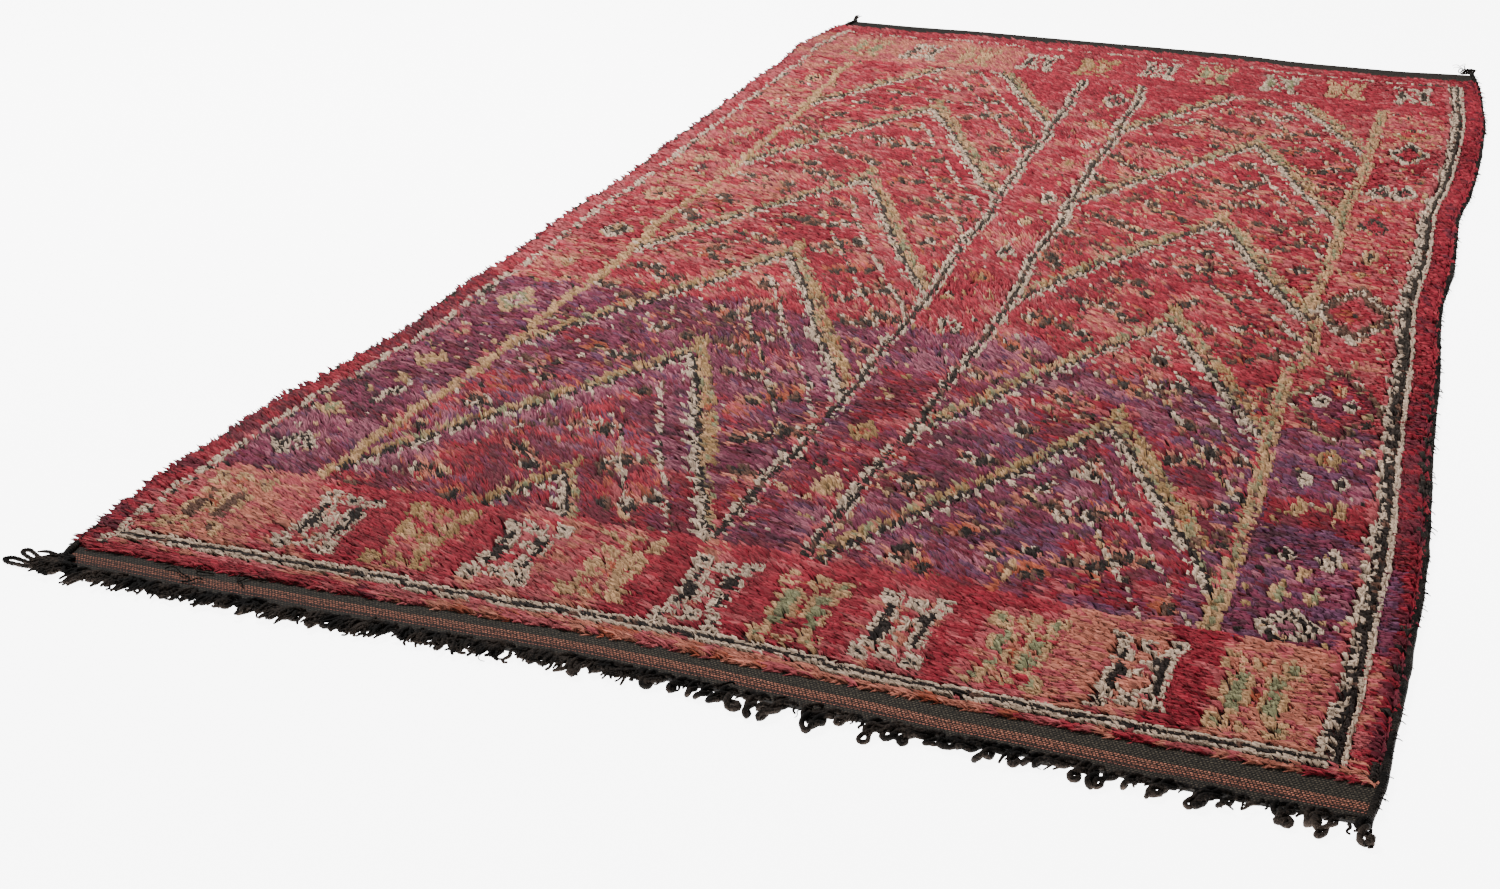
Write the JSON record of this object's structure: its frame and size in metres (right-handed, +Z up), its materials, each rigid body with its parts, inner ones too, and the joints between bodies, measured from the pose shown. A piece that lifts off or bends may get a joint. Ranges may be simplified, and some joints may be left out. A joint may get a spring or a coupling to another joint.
{
  "type": "hand-knotted wool rug",
  "caption": "Long knotted wool rug lying flat, with thick pile, chevron and lozenge field, flatwoven ends, overcast sides, a short knotted fringe and loose corner yarns.",
  "frame": {"origin": "centre of the box around the whole rug, on the floor it lies on", "axes": "+Y along the rug's length, away from its fringed end; +X across it; +Z up out of the pile"},
  "size_m": [1.765, 3.615, 0.0212],
  "materials": {
    "wool_pile": "hand-spun wool pile, brushed over, faded reds with purple, tan, ivory and black",
    "goat_hair": "overcast black-brown goat hair",
    "warp_yarn": "twisted dark warp yarn, matted and fuzzy"
  },
  "bodies": {
    "root": {"rug_body": "wool_pile", "selvedge_left": "goat_hair", "selvedge_right": "goat_hair", "fringe_near": "warp_yarn", "loop_near_left_upper": "warp_yarn", "loop_near_left_lower": "warp_yarn", "knot_near_right": "warp_yarn", "tassel_far_left": "warp_yarn", "tassel_far_right": "warp_yarn"}
  },
  "joints": []
}
